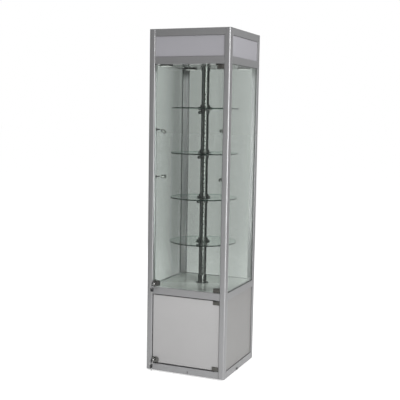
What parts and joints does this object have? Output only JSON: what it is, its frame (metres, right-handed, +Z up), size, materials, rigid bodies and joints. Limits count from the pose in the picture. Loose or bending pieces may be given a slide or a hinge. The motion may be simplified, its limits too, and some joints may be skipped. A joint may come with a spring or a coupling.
{
  "type": "revolving display cabinet",
  "caption": "Free-standing square aluminium-frame tower with a locked glass display compartment, motor-driven revolving column of round glass shelves, spotlights and a locked cupboard below.",
  "frame": {"origin": "on the floor under the centre of the square plan", "axes": "+Z up, door side towards -Y, +X to the right seen from the front"},
  "size_m": [0.504, 0.539, 2.01],
  "materials": {
    "frame": "satin silver anodised",
    "zinc": "zinc plated",
    "board": "glossy grey laminate",
    "panel": "satin light grey",
    "clear_glass": "clear float glass with a green edge",
    "lens": "frosted",
    "chrome": "polished",
    "black": "satin black"
  },
  "bodies": {
    "cabinet": {"post_front_left": "frame", "post_front_right": "frame", "post_back_left": "frame", "post_back_right": "frame", "top_rails": "frame", "header_rails": "frame", "middle_rails": "frame", "base_rails": "frame", "rail_connectors": "zinc", "roof_board": "board", "header_panel_front": "panel", "header_panel_back": "panel", "header_panels_side": "panel", "ceiling_board": "board", "ceiling_light_housings": "chrome", "ceiling_light_lenses": "lens", "display_glass_left": "clear_glass", "display_glass_right": "clear_glass", "display_glass_back": "clear_glass", "deck_board": "board", "cupboard_floor": "board", "cupboard_panel_left": "panel", "cupboard_panel_right": "panel", "cupboard_panel_back": "panel", "levelling_feet": "black", "gear_motor": "zinc", "top_bearing": "chrome", "deck_bush": "chrome", "spot_brackets": "black", "pivot_plates": "zinc", "power_inlet": "black", "light_power_supply": "black"},
    "turntable": {"column_tube": "chrome", "column_socket": "chrome", "drive_shaft": "zinc"},
    "shelf_1": {"shelf_collar_1": "chrome", "glass_shelf_1": "clear_glass"},
    "shelf_2": {"shelf_collar_2": "chrome", "glass_shelf_2": "clear_glass"},
    "shelf_3": {"shelf_collar_3": "chrome", "glass_shelf_3": "clear_glass"},
    "shelf_4": {"shelf_collar_4": "chrome", "glass_shelf_4": "clear_glass"},
    "glass_door": {"glass_door": "clear_glass", "glass_door_clamps": "chrome", "glass_door_lock_case": "chrome"},
    "glass_door_key": {"glass_door_lock_plug": "chrome", "glass_door_key": "black"},
    "glass_door_spare_key": {"glass_door_spare_key": "black"},
    "cupboard_door": {"cupboard_door": "panel", "cupboard_door_clamps": "chrome", "cupboard_door_lock_case": "chrome"},
    "cupboard_door_key": {"cupboard_door_lock_plug": "chrome", "cupboard_door_key": "black"},
    "cupboard_door_spare_key": {"cupboard_door_spare_key": "black"},
    "spot_left_upper": {"spot_head_left_upper": "chrome"},
    "spot_left_lower": {"spot_head_left_lower": "chrome"},
    "spot_right_upper": {"spot_head_right_upper": "chrome"},
    "spot_right_lower": {"spot_head_right_lower": "chrome"}
  },
  "joints": [
    {"name": "turntable_spin", "type": "hinge", "parent": "cabinet", "child": "turntable", "pos_m": [0, 0, 0.5133], "axis": [0, 0, 1], "continuous": true},
    {"name": "shelf_1_height", "type": "slide", "parent": "turntable", "child": "shelf_1", "axis": [0, 0, 1], "range_m": [-0.1, 0.1]},
    {"name": "shelf_2_height", "type": "slide", "parent": "turntable", "child": "shelf_2", "axis": [0, 0, 1], "range_m": [-0.1, 0.1]},
    {"name": "shelf_3_height", "type": "slide", "parent": "turntable", "child": "shelf_3", "axis": [0, 0, 1], "range_m": [-0.1, 0.1]},
    {"name": "shelf_4_height", "type": "slide", "parent": "turntable", "child": "shelf_4", "axis": [0, 0, 1], "range_m": [-0.1, 0.1]},
    {"name": "glass_door_swing", "type": "hinge", "parent": "cabinet", "child": "glass_door", "pos_m": [0.2, -0.2415, 0.5175], "axis": [0, 0, 1], "range_deg": [0, 110]},
    {"name": "glass_door_lock_turn", "type": "hinge", "parent": "glass_door", "child": "glass_door_key", "pos_m": [-0.202, -0.2415, 0.5325], "axis": [0, -1, 0], "range_deg": [0, 90]},
    {"name": "glass_door_spare_key_swing", "type": "hinge", "parent": "glass_door_key", "child": "glass_door_spare_key", "pos_m": [-0.202, -0.2788, 0.5325], "axis": [-1, 0, 0], "range_deg": [0, 60]},
    {"name": "cupboard_door_swing", "type": "hinge", "parent": "cabinet", "child": "cupboard_door", "pos_m": [0.2, -0.2415, 0.0565], "axis": [0, 0, 1], "range_deg": [0, 110]},
    {"name": "cupboard_door_lock_turn", "type": "hinge", "parent": "cupboard_door", "child": "cupboard_door_key", "pos_m": [-0.202, -0.2415, 0.0715], "axis": [0, -1, 0], "range_deg": [0, 90]},
    {"name": "cupboard_door_spare_key_swing", "type": "hinge", "parent": "cupboard_door_key", "child": "cupboard_door_spare_key", "pos_m": [-0.202, -0.2788, 0.0715], "axis": [-1, 0, 0], "range_deg": [0, 60]},
    {"name": "spot_left_upper_tilt", "type": "hinge", "parent": "cabinet", "child": "spot_left_upper", "pos_m": [-0.19703, -0.19703, 1.438], "axis": [-0.7071, 0.7071, 0], "range_deg": [-80, 45]},
    {"name": "spot_left_lower_tilt", "type": "hinge", "parent": "cabinet", "child": "spot_left_lower", "pos_m": [-0.19703, -0.19703, 1.163], "axis": [-0.7071, 0.7071, 0], "range_deg": [-48, 77]},
    {"name": "spot_right_upper_tilt", "type": "hinge", "parent": "cabinet", "child": "spot_right_upper", "pos_m": [0.19703, -0.19703, 1.438], "axis": [-0.7071, -0.7071, 0], "range_deg": [-48, 77]},
    {"name": "spot_right_lower_tilt", "type": "hinge", "parent": "cabinet", "child": "spot_right_lower", "pos_m": [0.19703, -0.19703, 1.163], "axis": [-0.7071, -0.7071, 0], "range_deg": [-57, 68]}
  ]
}
